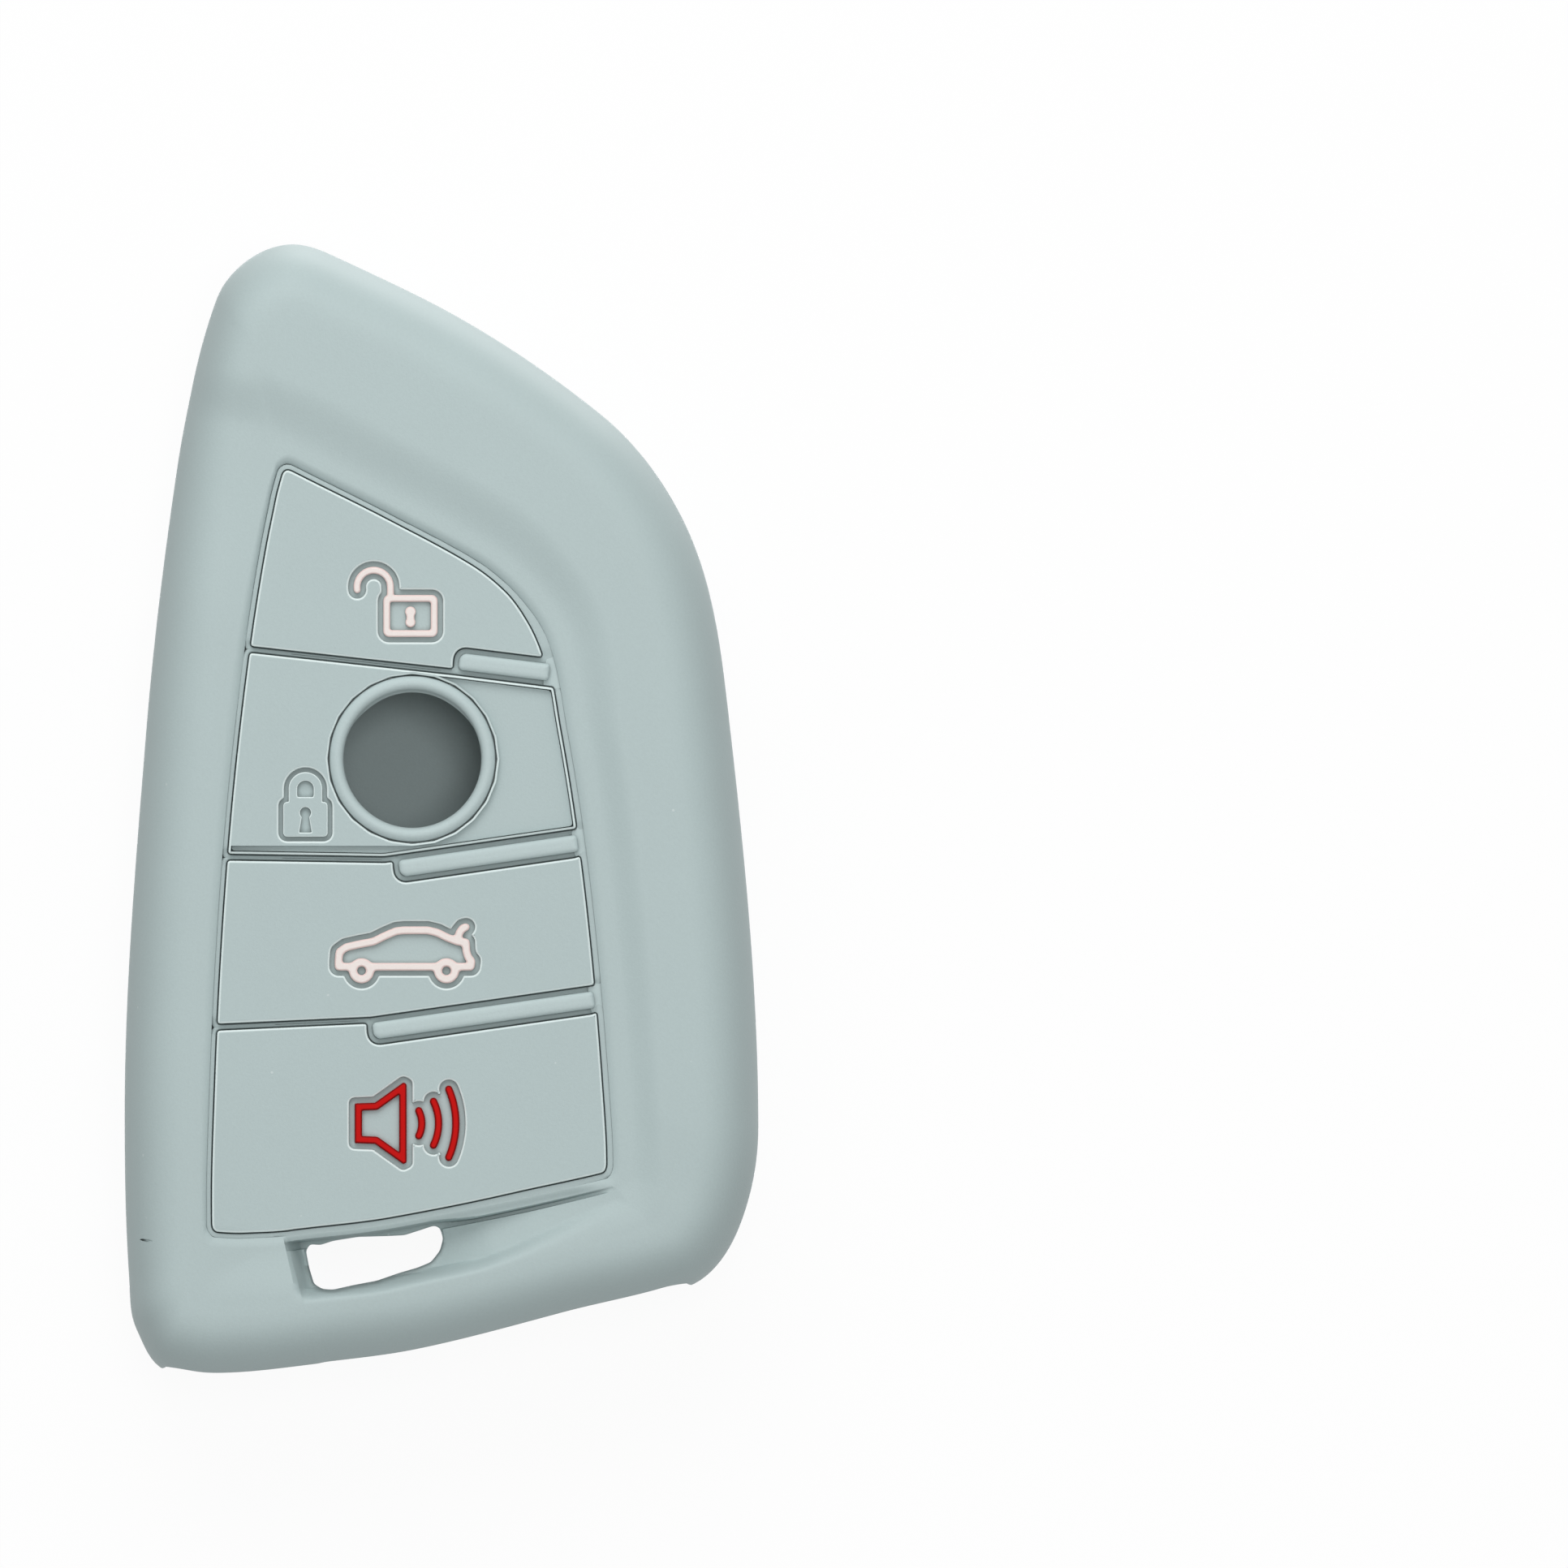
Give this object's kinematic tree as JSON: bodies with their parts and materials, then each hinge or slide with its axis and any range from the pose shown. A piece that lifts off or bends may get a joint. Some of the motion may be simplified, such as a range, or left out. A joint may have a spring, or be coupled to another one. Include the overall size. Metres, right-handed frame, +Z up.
{
  "type": "key fob cover",
  "caption": "Soft silicone cover for a car key fob: raised rim round push buttons with symbols, a round window, a key ring slot and an open mouth for the fob",
  "frame": {"origin": "middle of the face that the cover rests on, below the middle of its box", "axes": "+X to the right seen from the buttons, +Y from the mouth to the tip, +Z up out of the buttons"},
  "size_m": [0.0488, 0.087, 0.018],
  "materials": {
    "silicone": "matte grey-green silicone with a fine moulded grain",
    "pale_fill": "satin pale pink-white silicone poured into the symbols",
    "red_fill": "satin red silicone poured into the symbols"
  },
  "bodies": {
    "sleeve": {"front_shell": "silicone", "back_shell": "silicone", "upper_accent_bar": "silicone", "middle_accent_bar": "silicone", "lower_accent_bar": "silicone", "unlock_web": "silicone", "lock_web": "silicone", "trunk_web": "silicone", "panic_web": "silicone"},
    "unlock_pad": {"unlock_button": "silicone", "unlock_padlock": "pale_fill", "unlock_keyhole": "pale_fill"},
    "lock_pad": {"lock_button": "silicone", "emblem_ring": "silicone", "lock_padlock": "silicone"},
    "trunk_pad": {"trunk_button": "silicone", "trunk_car": "pale_fill"},
    "panic_pad": {"panic_button": "silicone", "horn": "red_fill", "near_sound_wave": "red_fill", "middle_sound_wave": "red_fill", "far_sound_wave": "red_fill"}
  },
  "joints": [
    {"name": "unlock_press", "type": "slide", "parent": "sleeve", "child": "unlock_pad", "axis": [0, 0, -1], "range_m": [0, 0.0006], "stiffness_N_per_m": 2500, "deforming": ["unlock_web"]},
    {"name": "lock_press", "type": "slide", "parent": "sleeve", "child": "lock_pad", "axis": [0, 0, -1], "range_m": [0, 0.0006], "stiffness_N_per_m": 2500, "deforming": ["lock_web"]},
    {"name": "trunk_press", "type": "slide", "parent": "sleeve", "child": "trunk_pad", "axis": [0, 0, -1], "range_m": [0, 0.0006], "stiffness_N_per_m": 2500, "deforming": ["trunk_web"]},
    {"name": "panic_press", "type": "slide", "parent": "sleeve", "child": "panic_pad", "axis": [0, 0, -1], "range_m": [0, 0.0006], "stiffness_N_per_m": 2500, "deforming": ["panic_web"]}
  ]
}
